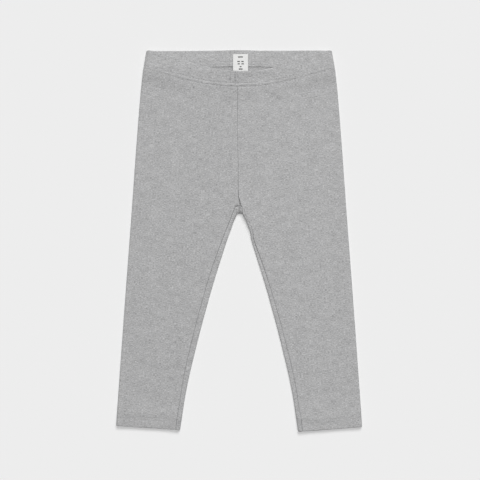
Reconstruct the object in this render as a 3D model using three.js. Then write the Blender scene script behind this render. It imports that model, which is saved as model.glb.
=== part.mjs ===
// A small child's plain jersey leggings, laid flat on their back with the waistband towards +Y.
// Millimetres, +Z up off the surface. Each leg is one cut piece, wrapped round from the centre-front seam,
// over the outer fold and back to the centre-back seam. Below the crotch its two edges meet in an inseam,
// which lies a little way in from the inner fold, on the front. The waistband is a doubled casing with a
// flat elastic in it. It is a ring whose front sags below its back, so that the inside of the back shows.
//
// "down" is the distance from the waist's top edge towards the hems, and "out" the distance from the
// middle line. Two layers face each other: the back lies on the surface and the front lies on the back.
import * as THREE from "three";

const LENGTH = 440; // waist's top edge to the lowest corner of the hems
const CLOTH = 1.1; // knitted jersey
const CASING = 2.4; // two layers of jersey round the elastic
const LAY = 0.4; // air between two layers that lie on each other
const SEAM = 0.3; // gap between pieces where they are sewn

// The outline. Both sides are alike.
const OUTER_EDGE = [
  { down: 0, out: 106.5 }, // waist's top edge
  { down: 21.6, out: 110.1 }, // foot of the waistband
  { down: 46, out: 113 }, // hip
  { down: 115, out: 118.5 },
  { down: 188, out: 123.7 }, // level with the crotch
  { down: 288, out: 131.2 }, // knee
  { down: 391, out: 138.6 },
  { down: 433.6, out: 141.5 }, // hem
];
const INNER_EDGE = [
  { below: 0, out: 0 }, // crotch
  { below: 5.2, out: 3.2 },
  { below: 13.3, out: 7.1 },
  { below: 47.8, out: 19.4 },
  { below: 99.6, out: 35.2 }, // knee
  { below: 151.3, out: 48.8 },
  { below: 203.1, out: 60.4 },
  { below: 251.8, out: 68 }, // hem
];
const CROTCH_BACK = 188.2; // where the back folds over to the front
const CROTCH_FRONT = 178.6; // where the centre-front seam ends
const CROTCH_OUTER = 186; // the outer edge of the section through the crotch
const HEM_OUTER = 433.6;
const HEM_INNER = 440;
const LEG_BELOW = HEM_INNER - CROTCH_BACK;

// Waistband
const BAND_FOOT = 21.6; // its lower edge at the sides
const BACK_FOOT_RISE = 2.1; // how much higher that edge is at the centre back
const FRONT_FOOT_DIP = 20.4; // how much lower that edge is at the centre front
const FRONT_TOP_DIP = 24.4; // how far the top edge sags at the centre front
const FRONT_TOP_LOWEST = 4; // the lowest point of the sag, right of the middle
const JOIN_HALF_WIDTH = 11; // the elastic's lapped join, at the centre back
const JOIN_RISE = 0.3;
const JOIN_SLOPE = 7; // how far the top edge takes to come down beside it
const BACK_EDGE_DROP = 0.7; // by this much

// Seams
const CENTRE_FRONT_TOP = -1.6; // where the centre-front seam meets the waistband
const CROTCH_LEAN = 1.7; // how far the seam runs to the right in its last stretch
const CROTCH_SLIT = 1.4; // how far it stands open there
const SLIT_LENGTH = 8;
// The inseam's distance from the inner fold, at distances below the crotch
const INSEAM_LEFT = [
  { below: 0, wide: 8.4 },
  { below: 5, wide: 6.5 },
  { below: 10, wide: 5.2 },
  { below: 20, wide: 3.7 },
  { below: 30, wide: 3.9 },
  { below: 60, wide: 5.2 },
  { below: 160, wide: 5.1 },
  { below: 200, wide: 4.2 },
  { below: 251.8, wide: 2.4 },
];
const INSEAM_RIGHT = [
  { below: 0, wide: 8.4 },
  { below: 2, wide: 6.2 },
  { below: 5, wide: 2.8 },
  { below: 10, wide: 1.3 },
  { below: 30, wide: 1.3 },
  { below: 50, wide: 2.4 },
  { below: 100, wide: 3.4 },
  { below: 195, wide: 3.9 },
  { below: 251.8, wide: 2.4 },
];
// How far below the crotch it has turned from straight up the front to square off the fold
const INSEAM_TURN = { left: 22, right: 14 };
const PIT = 1.7; // how deep the crotch lies below the front panels
const PIT_LENGTH = 14;

// Hems and hang
const HEM_DEPTH = 12;
const HEM_STEP = 1; // length of the step where the turned-up layer ends
const HEM_EASE = 22; // the front layer comes down from the hem's thickness over this length
const BAND_EASE = 20; // and from the waistband's
const FOLD_PUFF = 0.7; // the layers stand further apart near a fold
const PUFF_REACH = 14;
const FOLD_ROUNDNESS = 0.47; // a fold bulges by this share of its height
// Soft swells of the front layer, where four seams meet at the crotch and beside it
const SWELLS = [
  { x: 2, down: 178, height: 1, reach: 14 },
  { x: -14, down: 184, height: 0.4, reach: 18 },
  { x: 17, down: 192, height: 0.8, reach: 20 },
];

// Label, sewn inside the back of the waistband
const LABEL = { left: -7.1, right: 10.3, top: 4.1, foot: 27, thick: 1 };
const LABEL_DROP = 1.4; // it comes down off the waistband by this much
const LABEL_DROP_LENGTH = 8;
const LABEL_BULGE = 1.3; // the front of the waistband rises over the label's end
const LABEL_BULGE_HALF_WIDTH = 15;

// Where the front of the waistband comes down off its back, and off the label
const BAND_RAMP = { start: 22.5, length: 13.5 };
const LABEL_RAMP = { start: 26, length: 14 };

// Fineness of the walls
const FRONT_COLUMNS = 12;
const BACK_COLUMNS = 10;
const FOLD_COLUMNS = 6;
const INSEAM_COLUMNS = 2;
const UPPER_RINGS = 10;
const LOWER_RINGS = 16;
const RINGS_CROWD = 1.7; // above 1, the lower rings lie closer together near the crotch
const BAND_COLUMNS = 34;
const BAND_FOLD_COLUMNS = 6;
const BAND_MIDDLE_ROW = 0.45; // as a share of its height
const BAND_ROLL_DEGREES = [-60, -20, 20, 60];
const LABEL_ROWS = 8;
const LABEL_COLUMNS = 3;

const mix = THREE.MathUtils.lerp;
const ease = (t) => THREE.MathUtils.smoothstep(t, 0, 1);
const clamp01 = (t) => THREE.MathUtils.clamp(t, 0, 1);

// A smooth function through a table's rows: the column named value against the column named at.
function through(rows, at, value) {
  const x = rows.map((row) => row[at]);
  const y = rows.map((row) => row[value]);
  const last = x.length - 1;
  const slope = x.map((_, i) => {
    const before = Math.max(0, i - 1);
    const after = Math.min(last, i + 1);
    return (y[after] - y[before]) / (x[after] - x[before]);
  });
  return (where) => {
    const next = x.findIndex((edge) => edge >= where);
    const i = next < 0 ? last - 1 : Math.max(0, next - 1);
    const span = x[i + 1] - x[i];
    const t = (where - x[i]) / span;
    const rise = y[i + 1] - y[i];
    const bend = t * t * (3 - 2 * t);
    const start = t * (1 - t) * (1 - t) * span * slope[i];
    const end = t * t * (t - 1) * span * slope[i + 1];
    return y[i] + rise * bend + start + end;
  };
}

const outerEdge = through(OUTER_EDGE, "down", "out");
// The inner edge is round at the crotch, so it is smooth against the root of the distance below it.
const innerEdge = through(
  INNER_EDGE.map(({ below, out }) => ({ root: Math.sqrt(below), out })),
  "root",
  "out",
);
const inseamLeft = through(INSEAM_LEFT, "below", "wide");
const inseamRight = through(INSEAM_RIGHT, "below", "wide");

// A point of the garment from its side (-1 left, 1 right) and its own measures.
const place = (side, out, down, z) => new THREE.Vector3(side * out, LENGTH / 2 - down, z);

// Where the waistband's side folds begin, at its foot and at its top edge.
const footHalf = () => outerEdge(BAND_FOOT) - foldReach(bandTop());
const topHalf = () => outerEdge(0) - foldReach(bandTop());

// The back of the waistband's lower edge.
const backFoot = (x) => BAND_FOOT - BACK_FOOT_RISE * Math.max(0, 1 - (x / footHalf()) ** 2) ** 2;

// The edges of the front of the waistband.
function frontFoot(x) {
  const share = x / footHalf();
  return BAND_FOOT + FRONT_FOOT_DIP * Math.max(0, 1 - share * share) ** 1.25;
}

function frontTop(x) {
  const fold = x > FRONT_TOP_LOWEST ? topHalf() : -topHalf();
  const share = (x - FRONT_TOP_LOWEST) / (fold - FRONT_TOP_LOWEST);
  const sag = Math.max(0, 1 - share * share) ** 1.6;
  return BACK_EDGE_DROP + (FRONT_TOP_DIP - BACK_EDGE_DROP) * sag;
}

// The lapped join's outline: 1 on it and 0 beside it.
const onJoin = (x) => 1 - ease((Math.abs(x) - JOIN_HALF_WIDTH + 1) / 2);

// The back's top edge, which stands a little higher at the join.
const backTop = (x) => BACK_EDGE_DROP * ease((Math.abs(x) - JOIN_HALF_WIDTH + JOIN_SLOPE) / JOIN_SLOPE);

// Height of the underside of the front of the waistband. It lies on the back of the waistband near the
// sides, on the back panels in the middle, and on the label's end.
function bandUnderside(x, down) {
  const onPanel = CLOTH + LAY;
  const onBand = CASING + LAY;
  const labelMiddle = (LABEL.left + LABEL.right) / 2;
  const overLabel = Math.exp(-(((x - labelMiddle) / LABEL_BULGE_HALF_WIDTH) ** 4));
  const pastBand = ease((down - BAND_RAMP.start) / BAND_RAMP.length);
  const pastLabel = ease((down - LABEL_RAMP.start) / LABEL_RAMP.length);
  return mix(onBand, onPanel, pastBand) + LABEL_BULGE * overLabel * (1 - pastLabel);
}

const puff = (fromFold) => FOLD_PUFF * ease(1 - fromFold / PUFF_REACH);

function swell(x, down) {
  return SWELLS.reduce((sum, s) => {
    const far = ((x - s.x) ** 2 + (down - s.down) ** 2) / s.reach ** 2;
    return sum + s.height * Math.exp(-far);
  }, 0);
}

// Height of the front layer's upper face above the crotch's section.
function upperFace(x, down, fromFold) {
  const flat = 2 * CLOTH + LAY;
  const seam = frontFoot(x);
  const band = bandUnderside(x, seam) + CASING - flat;
  return flat + band * ease(1 - (down - seam) / BAND_EASE) + swell(x, down) + puff(fromFold);
}

// The same below it. The turned-up hem is twice as thick.
function lowerFace(x, down, aboveHem, fromFold) {
  const flat = 2 * CLOTH + LAY;
  const hem = 2 * CLOTH * ease(1 - (aboveHem - HEM_DEPTH) / HEM_EASE);
  return flat + hem + swell(x, down) + puff(fromFold);
}

// The centre edge of a front panel, as its distance out.
function centreFront(side, down) {
  const along = clamp01((down - frontFoot(0)) / (CROTCH_FRONT - frontFoot(0)));
  const near = ease((down - CROTCH_FRONT + SLIT_LENGTH) / SLIT_LENGTH);
  const seam = mix(CENTRE_FRONT_TOP, 0, along) + CROTCH_LEAN * near;
  return side * seam + SEAM / 2 + (side > 0 ? CROTCH_SLIT * near : 0);
}

// A wall of cloth from a grid of { outer, inner } points. A missing point leaves a slit or a notch.
// The faces of a grid that runs the other way round are turned, so that they still point out.
function clothWall(rings, turned) {
  const positions = [];
  const index = [];
  const numbered = rings.map((ring) =>
    ring.map((point) => {
      if (!point) return null;
      positions.push(...point.outer.toArray(), ...point.inner.toArray());
      const first = positions.length / 3 - 2;
      return { outer: first, inner: first + 1 };
    }),
  );
  const corners = (i, j) => {
    if (i < 0 || j < 0 || i > rings.length - 2 || j > rings[0].length - 2) return null;
    const found = [numbered[i][j], numbered[i + 1][j], numbered[i + 1][j + 1], numbered[i][j + 1]];
    return found.every(Boolean) ? found : null;
  };
  const quad = (a, b, c, d) => index.push(...(turned ? [a, b, c, a, c, d] : [a, c, b, a, d, c]));
  for (let i = 0; i < rings.length - 1; i++) {
    for (let j = 0; j < rings[0].length - 1; j++) {
      const cell = corners(i, j);
      if (!cell) continue;
      const [a, b, c, d] = cell;
      quad(a.outer, b.outer, c.outer, d.outer);
      quad(a.inner, d.inner, c.inner, b.inner);
      const rim = (from, to) => quad(to.outer, from.outer, from.inner, to.inner);
      if (!corners(i, j - 1)) rim(a, b);
      if (!corners(i + 1, j)) rim(b, c);
      if (!corners(i, j + 1)) rim(c, d);
      if (!corners(i - 1, j)) rim(d, a);
    }
  }
  return meshData(positions, index);
}

function meshData(positions, index) {
  const geometry = new THREE.BufferGeometry();
  geometry.setAttribute("position", new THREE.Float32BufferAttribute(positions, 3));
  geometry.setIndex(index);
  geometry.computeVertexNormals();
  return geometry;
}

// A half-round fold, from the upper face at height top to the lower face at 0. Its middle lies at
// (out, down), and it bulges along the unit vector away. The ends belong to the rows beside it.
function foldPoints(side, out, down, away, top, thick) {
  const reach = foldReach(top);
  const points = [];
  for (let i = 1; i < FOLD_COLUMNS; i++) {
    const angle = (i / FOLD_COLUMNS) * Math.PI;
    const at = (across, high) =>
      place(
        side,
        out + away.out * across * Math.sin(angle),
        down + away.down * across * Math.sin(angle),
        top / 2 + high * Math.cos(angle),
      );
    points.push({ outer: at(reach, top / 2), inner: at(reach - thick, top / 2 - thick) });
  }
  return points;
}

const foldReach = (top) => top * FOLD_ROUNDNESS;

// A section above the crotch, from the centre front, over the outer fold, to the centre back.
// rise is 0 at the crotch and 1 at the waistband.
function upperRing(side, rise) {
  const ring = [];
  const foldDown = mix(CROTCH_OUTER, BAND_FOOT + SEAM, rise);
  const foldTop = upperFace(side * outerEdge(foldDown), foldDown, 0);
  const foldOut = outerEdge(foldDown) - foldReach(foldTop);
  const centre = centreFront(side, mix(CROTCH_FRONT, frontFoot(0), rise));
  for (let i = 0; i <= FRONT_COLUMNS; i++) {
    const share = i / FRONT_COLUMNS;
    const crotch = mix(CROTCH_FRONT, CROTCH_OUTER, share);
    const out = mix(centre, foldOut, share);
    const down = mix(crotch, frontFoot(out) + SEAM, rise);
    const top = upperFace(side * out, down, foldOut - out);
    ring.push({ outer: place(side, out, down, top), inner: place(side, out, down, top - CLOTH) });
  }
  const away = { out: 1, down: 0 };
  ring.push(...foldPoints(side, foldOut, foldDown, away, foldTop, CLOTH));
  for (let i = 0; i <= BACK_COLUMNS; i++) {
    const share = 1 - i / BACK_COLUMNS;
    const out = mix(SEAM / 2, foldOut, share);
    const down = mix(mix(CROTCH_BACK, CROTCH_OUTER, share), backFoot(out) + SEAM, rise);
    ring.push({ outer: place(side, out, down, 0), inner: place(side, out, down, CLOTH) });
  }
  const below = FOLD_COLUMNS + INSEAM_COLUMNS;
  return ring.concat(new Array(below).fill(null));
}

// The inner fold at a distance below the crotch: its place, and the unit vector out of the cloth.
function innerFold(below) {
  const root = Math.sqrt(below);
  const nudge = 0.01;
  const turn = (innerEdge(root + nudge) - innerEdge(root)) / nudge;
  const size = Math.hypot(turn, 2 * root);
  return {
    out: SEAM / 2 + innerEdge(root),
    down: CROTCH_BACK + below,
    away: { out: (-2 * root) / size, down: turn / size },
  };
}

// The inseam's distance from the inner fold's middle line, and its direction from there.
function inseamFrom(side, fold, below) {
  const wide = side < 0 ? inseamLeft(below) : inseamRight(below);
  const turn = side < 0 ? INSEAM_TURN.left : INSEAM_TURN.right;
  const angle = Math.atan2(-fold.away.out, fold.away.down) * clamp01(below / turn);
  return { wide, out: Math.sin(angle), down: -Math.cos(angle) };
}

// A section below the crotch: from the inseam, over the outer fold, under the leg, over the inner fold
// and back to the inseam. below is its distance below the crotch, at the inner edge.
function lowerRing(side, below, thick) {
  const ring = [];
  const share = below / LEG_BELOW;
  const aboveHem = LEG_BELOW - below;
  const foldDown = mix(CROTCH_OUTER, HEM_OUTER, share);
  const foldTop = lowerFace(side * outerEdge(foldDown), foldDown, aboveHem, 0);
  const foldOut = outerEdge(foldDown) - foldReach(foldTop);

  const inner = innerFold(below);
  const innerX = side * inner.out;
  const innerTop = lowerFace(innerX, inner.down, aboveHem, 0) - swell(innerX, inner.down);
  const innerReach = foldReach(innerTop);
  const innerOut = inner.out - inner.away.out * innerReach;
  const innerDown = inner.down - inner.away.down * innerReach;
  const inseam = inseamFrom(side, inner, below);
  const inseamAt = (wide) => [innerOut + inseam.out * wide, innerDown + inseam.down * wide];
  let [edgeOut, edgeDown] = inseamAt(inseam.wide);
  if (below === 0) {
    edgeOut = centreFront(side, CROTCH_FRONT);
    edgeDown = CROTCH_FRONT;
  }

  for (let i = 0; i <= FRONT_COLUMNS; i++) {
    const across = i / FRONT_COLUMNS;
    const out = mix(edgeOut, foldOut, across);
    const down = mix(edgeDown, foldDown, across);
    const fromFold = Math.min(foldOut - out, out - edgeOut + inseam.wide);
    const top = lowerFace(side * out, down, aboveHem, fromFold);
    ring.push({ outer: place(side, out, down, top), inner: place(side, out, down, top - thick) });
  }
  const away = { out: 1, down: 0 };
  ring.push(...foldPoints(side, foldOut, foldDown, away, foldTop, thick));
  for (let i = 0; i <= BACK_COLUMNS; i++) {
    const across = i / BACK_COLUMNS;
    const out = mix(foldOut, innerOut, across);
    const down = mix(foldDown, innerDown, across);
    ring.push({ outer: place(side, out, down, 0), inner: place(side, out, down, thick) });
  }
  ring.push(...foldPoints(side, innerOut, innerDown, inner.away, innerTop, thick).reverse());
  const pit = PIT * clamp01(1 - below / PIT_LENGTH);
  for (let i = 0; i <= INSEAM_COLUMNS; i++) {
    const across = i / INSEAM_COLUMNS;
    const [out, down] = inseamAt((inseam.wide - SEAM) * across);
    const panel = lowerFace(side * edgeOut, edgeDown, aboveHem, inseam.wide);
    const top = mix(innerTop, panel - pit, ease(across));
    ring.push({ outer: place(side, out, down, top), inner: place(side, out, down, top - thick) });
  }
  return ring;
}

function legPanel(side) {
  const rings = [];
  for (let i = UPPER_RINGS; i > 0; i--) rings.push(upperRing(side, i / UPPER_RINGS));
  const single = LEG_BELOW - HEM_DEPTH - HEM_STEP;
  for (let i = 0; i <= LOWER_RINGS; i++) {
    rings.push(lowerRing(side, single * (i / LOWER_RINGS) ** RINGS_CROWD, CLOTH));
  }
  rings.push(lowerRing(side, LEG_BELOW - HEM_DEPTH, 2 * CLOTH));
  rings.push(lowerRing(side, LEG_BELOW - HEM_DEPTH / 2, 2 * CLOTH));
  rings.push(lowerRing(side, LEG_BELOW, 2 * CLOTH));
  return clothWall(rings, side > 0);
}

// The waistband's own section: how far up the band each point lies, as a share of its height, and
// which way it faces, from 1 on the outside to -1 on the inside. The top edge is rolled round.
function bandSection(height) {
  const roll = CASING / 2 / height;
  const rolled = BAND_ROLL_DEGREES.map((degrees) => {
    const angle = THREE.MathUtils.degToRad(degrees);
    return { up: 1 - roll + roll * Math.cos(angle), face: -Math.sin(angle) };
  });
  const plain = [0, BAND_MIDDLE_ROW, 1 - roll];
  return [
    ...plain.map((up) => ({ up, face: 1 })),
    ...rolled,
    ...plain.reverse().map((up) => ({ up, face: -1 })),
  ];
}

// One section of the front or the back, at a share of the half width from -1 to 1.
function bandAcross(share, front) {
  const footX = share * footHalf();
  const topX = share * topHalf();
  const foot = front ? frontFoot(footX) : backFoot(footX);
  const top = front ? frontTop(topX) : backTop(topX);
  return bandSection(foot - top).map(({ up, face }) => {
    const x = mix(footX, topX, up);
    const down = mix(foot, top, up);
    if (front) {
      const fromFold = mix(footHalf(), topHalf(), up) - Math.abs(x);
      const z = bandUnderside(x, down) + puff(fromFold) + (CASING * (1 + face)) / 2;
      return place(1, x, down, z);
    }
    const thick = CASING + JOIN_RISE * onJoin(x);
    return place(1, x, down, (thick * (1 - face)) / 2);
  });
}

// Height of the waistband's upper face at its folds.
const bandTop = () => bandUnderside(OUTER_EDGE[0].out, 0) + CASING + FOLD_PUFF;

// One section of a side fold. turn is 0 at the front and 1 at the back.
function bandFold(side, turn) {
  const angle = turn * Math.PI;
  const top = bandTop();
  const height = BAND_FOOT - BACK_EDGE_DROP;
  return bandSection(height).map(({ up, face }) => {
    const down = mix(BAND_FOOT, BACK_EDGE_DROP, up);
    const inset = (CASING * (1 - face)) / 2;
    const out = mix(footHalf(), topHalf(), up) + (foldReach(top) - inset) * Math.sin(angle);
    const underside = bandUnderside(side * OUTER_EDGE[0].out, down) + CASING + FOLD_PUFF;
    const middle = mix(underside - top / 2, top / 2, turn);
    return place(side, out, down, middle + (top / 2 - inset) * Math.cos(angle));
  });
}

function waistband() {
  const sections = [];
  for (let i = 0; i <= BAND_COLUMNS; i++) sections.push(bandAcross((2 * i) / BAND_COLUMNS - 1, true));
  for (let i = 1; i < BAND_FOLD_COLUMNS; i++) sections.push(bandFold(1, i / BAND_FOLD_COLUMNS));
  for (let i = 0; i <= BAND_COLUMNS; i++) sections.push(bandAcross(1 - (2 * i) / BAND_COLUMNS, false));
  for (let i = 1; i < BAND_FOLD_COLUMNS; i++) sections.push(bandFold(-1, 1 - i / BAND_FOLD_COLUMNS));
  const around = sections[0].length;
  const index = [];
  sections.forEach((_, i) => {
    const next = (i + 1) % sections.length;
    for (let j = 0; j < around; j++) {
      const beside = (j + 1) % around;
      const [a, b] = [i * around + j, next * around + j];
      const [c, d] = [next * around + beside, i * around + beside];
      index.push(a, b, c, a, c, d);
    }
  });
  return meshData(sections.flat().flatMap((point) => point.toArray()), index);
}

function sizeLabel() {
  const rings = [];
  for (let i = 0; i <= LABEL_ROWS; i++) {
    const down = mix(LABEL.top, LABEL.foot, i / LABEL_ROWS);
    const drop = LABEL_DROP * ease((down - BAND_FOOT) / LABEL_DROP_LENGTH);
    const z = CASING + JOIN_RISE + SEAM - drop;
    const ring = [];
    for (let j = 0; j <= LABEL_COLUMNS; j++) {
      const x = mix(LABEL.left, LABEL.right, j / LABEL_COLUMNS);
      ring.push({ outer: place(1, x, down, z + LABEL.thick), inner: place(1, x, down, z) });
    }
    rings.push(ring);
  }
  return clothWall(rings, true);
}

const jersey = { color: 0xa6a6a6, roughness: 0.95, metalness: 0 };
const satin = { color: 0xededeb, roughness: 0.6, metalness: 0 };

function piece(name, geometry, finish) {
  const mesh = new THREE.Mesh(geometry, new THREE.MeshStandardMaterial(finish));
  mesh.name = name;
  return mesh;
}

const leggings = new THREE.Group();
leggings.add(
  piece("leg_left", legPanel(-1), jersey),
  piece("leg_right", legPanel(1), jersey),
  piece("waistband", waistband(), jersey),
  piece("size_label", sizeLabel(), satin),
);

export default leggings;
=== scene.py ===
# %% [markdown]
# # A small child's leggings, laid flat
# This is a pair of plain jersey leggings, laid on their back for a catalogue picture. The solids were drawn
# first, for their size and weight. Here the same garment is dressed: finer sections, soft creases, seams
# that dip, stitches, and a heather-grey knit. Every length below is in millimetres, as on a cutting table,
# and is turned into metres only when a mesh is made. "down" is the distance from the waist's top edge
# towards the hems, and "out" the distance from the middle line.

import bpy
import numpy as np
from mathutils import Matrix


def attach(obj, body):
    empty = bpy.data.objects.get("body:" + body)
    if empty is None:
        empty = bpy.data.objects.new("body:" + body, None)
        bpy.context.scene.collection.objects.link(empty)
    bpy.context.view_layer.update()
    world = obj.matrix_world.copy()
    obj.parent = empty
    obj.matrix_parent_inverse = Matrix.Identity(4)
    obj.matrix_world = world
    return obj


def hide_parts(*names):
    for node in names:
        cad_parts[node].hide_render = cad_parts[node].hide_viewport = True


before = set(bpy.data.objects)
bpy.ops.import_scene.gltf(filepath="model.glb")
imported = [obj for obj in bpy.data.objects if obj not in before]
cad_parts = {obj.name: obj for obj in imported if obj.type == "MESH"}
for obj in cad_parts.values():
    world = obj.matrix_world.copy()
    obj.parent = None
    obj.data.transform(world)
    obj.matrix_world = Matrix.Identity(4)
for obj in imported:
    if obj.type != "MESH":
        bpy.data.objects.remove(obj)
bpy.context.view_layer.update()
MM = 0.001
print("solids:", sorted(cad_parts))

# %% [markdown]
# ## Sizes
# These are the pattern's own measures, the same as in the solids. A garment's outline is a short table:
# how far out the edge lies at a few heights. A smooth curve through the rows gives every height between.

# %% Named sizes and tables
LENGTH = 440  # waist's top edge to the lowest corner of the hems
CLOTH = 1.1
CASING = 2.4  # two layers of jersey round the elastic
LAY = 0.4  # air between two layers that lie on each other
SEAM = 0.3  # gap between the label and the casing
CENTRE_BACK_GAP = 0.1

OUTER_EDGE = {"down": [0, 21.6, 46, 115, 188, 288, 391, 433.6],
              "out": [106.5, 110.1, 113, 118.5, 123.7, 131.2, 138.6, 141.5]}
INNER_EDGE = {"below": [0, 5.2, 13.3, 47.8, 99.6, 151.3, 203.1, 251.8],
              "out": [0, 3.2, 7.1, 19.4, 35.2, 48.8, 60.4, 68]}
INSEAM = {
    "left": {"below": [0, 5, 10, 20, 30, 60, 160, 200, 251.8],
             "wide": [8.4, 6.3, 4.4, 3.7, 3.9, 5.2, 5.1, 4.2, 2.4], "turn": 22},
    "right": {"below": [0, 2, 5, 10, 30, 50, 100, 195, 251.8],
              "wide": [8.4, 6.2, 2.8, 1.3, 1.3, 2.4, 3.4, 3.9, 2.4], "turn": 14},
}
CROTCH_BACK, CROTCH_FRONT, CROTCH_OUTER = 188.2, 178.6, 186
HEM_OUTER, HEM_INNER = 433.6, 440
LEG_BELOW = HEM_INNER - CROTCH_BACK
BAND_FOOT, BACK_FOOT_RISE, FRONT_FOOT_DIP = 21.6, 2.6, 20.4
FRONT_TOP_DIP, FRONT_TOP_LOWEST = 24.4, 4
JOIN_HALF_WIDTH, JOIN_RISE, BACK_EDGE_DROP = 11, 0.3, 0.7
BACK_TOP = {"x": [-104, -90, -56, -22, -11, 1, 12, 24, 59, 93, 104],
            "drop": [0.7, 0.9, 0.9, 0.45, 0.05, 0, 0.15, 0.55, 0.5, 0.45, 0.7]}
CENTRE_FRONT = {"down": [42, 86, 138, 161, 168, 172.5, 176, 178.6],
                "x": [-1.85, -1.75, -1.05, -0.95, -0.9, -0.4, 0, 0.6]}
HEM_DEPTH, HEM_STEP, HEM_EASE, BAND_EASE = 12, 1, 22, 20
FOLD_PUFF, PUFF_REACH, FOLD_ROUNDNESS = 0.7, 14, 0.47
LABEL = {"left": -7.1, "right": 10.3, "top": 4.8, "foot": 27, "thick": 1, "drop": 1.4, "drop_length": 8}
LABEL_BULGE, LABEL_BULGE_HALF_WIDTH = 1.3, 15
BAND_RAMP, LABEL_RAMP = (22.5, 13.5), (26, 14)
LABEL_MIDDLE, LABEL_HALF = (LABEL["left"] + LABEL["right"]) / 2, (LABEL["right"] - LABEL["left"]) / 2
print("the cut below the crotch is", round(LEG_BELOW, 1), "mm long")

# %% [markdown]
# ## How this pair happens to lie
# Cloth never lies quite as it was cut, and a dressed model may show it. Here the hems were pushed up a
# little, the left leg's most. At the crotch four seams meet and stiffen the cloth, so the front swells up
# around a small pit, and the two inner folds stand apart, roll up thicker and lean. The solids have only a
# part of the swelling. All of it is here, in tables of its own, so the pattern above stays as it was cut.

# %% Tables for how it lies
HEM_LIFT = {"x": [-141.5, -112, -68, 68, 90, 141.5], "lift": [1.2, 1.7, 2.6, 0.9, 0.2, 0]}
HEM_LIFT_REACH = 120  # the hems' lift is eased in over this length
EDGE_SHIFT = {  # how much further out each inner fold lies than it was cut
    "left": {"below": [0, 0.25, 0.5, 1, 2, 3, 5, 10, 14, 18, 251.8],
             "out": [0, 1.2, 1.75, 1.6, 1.3, 1.15, 1.2, 1.1, 0.5, 0.1, 0]},
    "right": {"below": [0, 0.25, 0.5, 1.5, 4, 6, 9, 13, 20, 23.5, 28, 33, 42, 251.8],
              "out": [0, 1.7, 2.5, 2.65, 2.9, 3.1, 3.0, 2.5, 2.2, 1.7, 0.7, 0.35, 0, 0]},
}
CROTCH = {  # each fold is thicker by roll, wider by a share, skewed outwards, and lower by pit at its inseam
    "left": {"below": [0, 0.5, 0.85, 1.3, 2.2, 8, 16, 24, 251.8],
             "roll": [1.8, 1.8, 1.0, 1.6, 2.0, 1.1, 0, 0, 0],
             "widen": [0.9, 0.9, 0.7, 0.6, 0.4, 0.3, 0.1, 0, 0],
             "skew": [0.5, 0.5, 0.5, 0.5, 0.5, 0.4, 0.2, 0, 0],
             "pit": [1.3, 1.3, 1.3, 1.2, 0.9, 0.3, 0, 0, 0]},
    "right": {"below": [0, 0.5, 1.0, 1.6, 4, 20, 32, 44, 251.8],
              "roll": [1.8, 1.8, 2.6, 3.3, 3.4, 2.0, 0.7, 0, 0],
              "widen": [0.9, 0.9, 0.3, -0.2, -0.3, -0.1, 0, 0, 0],
              "skew": [0.5, 0.5, 0.2, 0, 0, 0, 0, 0, 0],
              "pit": [1.3, 1.3, 0.6, 0, 0, 0, 0, 0, 0]},
}
LEAN = {"left": 8, "right": -5}  # degrees that the inseam leans away from its fold, just below the crotch
LEAN_START, LEAN_LENGTH = 0.5, 9
FLAT_INSEAM = {"left": 0.1, "right": 30}  # so far down, the inseam isn't drawn in
CROTCH_DIP, CENTRE_DIP_REACH = 1.2, 5  # the front's edges bend down where the four seams meet
INSEAM_DIP_REACH = {"left": 3, "right": 1}
SWELLS = {"x": [2, -14, 17, 2.5, 12], "down": [178, 184, 192, 180.5, 203],
          "height": [1, 0.4, 0.8, 2.3, 1.3], "reach": [14, 18, 20, 8.5, 13]}
print("the hems are pushed up by", max(HEM_LIFT["lift"]), "mm at most")

# %% [markdown]
# ## Curves and soft noise
# Three tools shape everything. One draws a smooth curve through a table's rows. One is a bell, the section
# of a single soft groove or ridge. The third is a soft noise: random heights on a square lattice with a
# fixed seed, blended so that no corner shows. Cloth is never quite even, and a little of this noise keeps
# large panels from looking like sheet metal.


# %% Tools for smooth shapes
def mix(a, b, t):
    return a + (b - a) * t


def ease(t):
    t = np.clip(t, 0, 1)
    return t * t * (3 - 2 * t)


def bell(distance, half_width):
    """1 at no distance, falling softly to nothing: the section of one groove, ridge or ripple."""
    return np.exp(-((distance / half_width) ** 2))


def through(rows, at, value):
    """A smooth curve through a table's rows: its column named value against the one named at."""
    x, y = np.array(rows[at], float), np.array(rows[value], float)
    before = np.maximum(np.arange(len(x)) - 1, 0)
    after = np.minimum(np.arange(len(x)) + 1, len(x) - 1)
    slope = (y[after] - y[before]) / (x[after] - x[before])

    def curve(where):
        i = np.clip(np.searchsorted(x, where) - 1, 0, len(x) - 2)
        span = x[i + 1] - x[i]
        t = (where - x[i]) / span
        bend = t * t * (3 - 2 * t)
        lead = t * (1 - t) * (1 - t) * span * slope[i] + t * t * (t - 1) * span * slope[i + 1]
        return y[i] + (y[i + 1] - y[i]) * bend + lead

    return curve


LATTICE = 61  # points along each side, after which the noise repeats


def soft_noise(x, y, seed):
    """Smooth random heights from -1 to 1, one lattice step to a unit of x and y."""
    lattice = np.random.default_rng(seed).uniform(-1, 1, (LATTICE, LATTICE))
    x, y = np.broadcast_arrays(np.asarray(x, float), np.asarray(y, float))
    i, j = np.floor(x).astype(int), np.floor(y).astype(int)
    u, v = ease(x - i), ease(y - j)

    def corner(a, b):
        return lattice[(i + a) % LATTICE, (j + b) % LATTICE]

    return mix(mix(corner(0, 0), corner(1, 0), u), mix(corner(0, 1), corner(1, 1), u), v)


def ripples(x, y, waves, seed=0):
    """Soft noises of several sizes added up. A wave is a height, a size across, a size down and a seed."""
    return sum(height * soft_noise(x / wide, y / high, seed + own) for height, wide, high, own in waves)


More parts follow.
